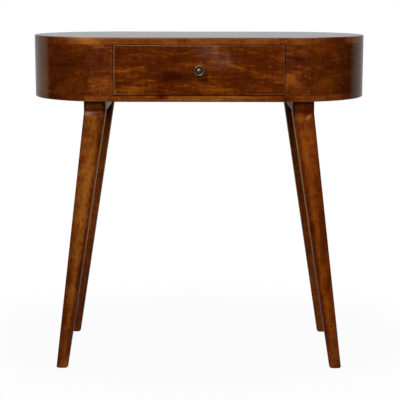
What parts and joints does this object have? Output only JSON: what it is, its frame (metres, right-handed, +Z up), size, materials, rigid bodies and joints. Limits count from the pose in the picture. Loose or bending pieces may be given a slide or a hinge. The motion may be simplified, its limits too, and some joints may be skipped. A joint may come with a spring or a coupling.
{
  "type": "console table",
  "caption": "Racetrack-plan console table in stained wood with a flush drawer, a turned metal knob and splayed tapered legs on side rails.",
  "frame": {"origin": "centre of the footprint on the floor, counting the knob's projection in front", "axes": "+X to the right seen from the front, -Y towards the person at the drawer, +Z up"},
  "size_m": [0.8, 0.422, 0.793],
  "materials": {
    "case_wood": "chestnut-stained hardwood under gloss lacquer",
    "drawer_front_wood": "chestnut-stained hardwood under gloss lacquer",
    "leg_wood": "chestnut-stained hardwood under satin lacquer",
    "drawer_box_wood": "planed hardwood, lightly sealed",
    "drawer_panel": "thin plywood, sanded",
    "antique_metal": "antiqued cast and turned metal",
    "zinc_steel": "zinc-plated steel",
    "brass_insert": "turned brass"
  },
  "bodies": {
    "table": {"back_board_lower": "case_wood", "back_board_upper": "case_wood", "bottom_board": "case_wood", "drawer_guide_left": "drawer_box_wood", "drawer_guide_right": "drawer_box_wood", "drawer_kicker_left": "drawer_box_wood", "drawer_kicker_right": "drawer_box_wood", "drawer_stop_left": "drawer_box_wood", "drawer_stop_right": "drawer_box_wood", "end_back_left_lower": "case_wood", "end_back_left_upper": "case_wood", "end_back_right_lower": "case_wood", "end_back_right_upper": "case_wood", "end_front_left_lower": "case_wood", "end_front_left_upper": "case_wood", "end_front_right_lower": "case_wood", "end_front_right_upper": "case_wood", "frame_bolts": "zinc_steel", "front_stile_left_lower": "case_wood", "front_stile_left_upper": "case_wood", "front_stile_right_lower": "case_wood", "front_stile_right_upper": "case_wood", "leg_back_left": "leg_wood", "leg_back_right": "leg_wood", "leg_front_left": "leg_wood", "leg_front_right": "leg_wood", "leg_rail_left": "leg_wood", "leg_rail_right": "leg_wood", "pull_stop_batten": "drawer_box_wood", "threaded_inserts": "brass_insert", "top_board": "case_wood"},
    "drawer": {"drawer_back": "drawer_box_wood", "drawer_bottom": "drawer_panel", "drawer_front": "drawer_front_wood", "drawer_knob": "antique_metal", "drawer_side_left": "drawer_box_wood", "drawer_side_right": "drawer_box_wood", "knob_screw": "zinc_steel"}
  },
  "joints": [
    {"name": "drawer_slide", "type": "slide", "parent": "table", "child": "drawer", "axis": [0, -1, 0], "range_m": [0, 0.245]}
  ]
}
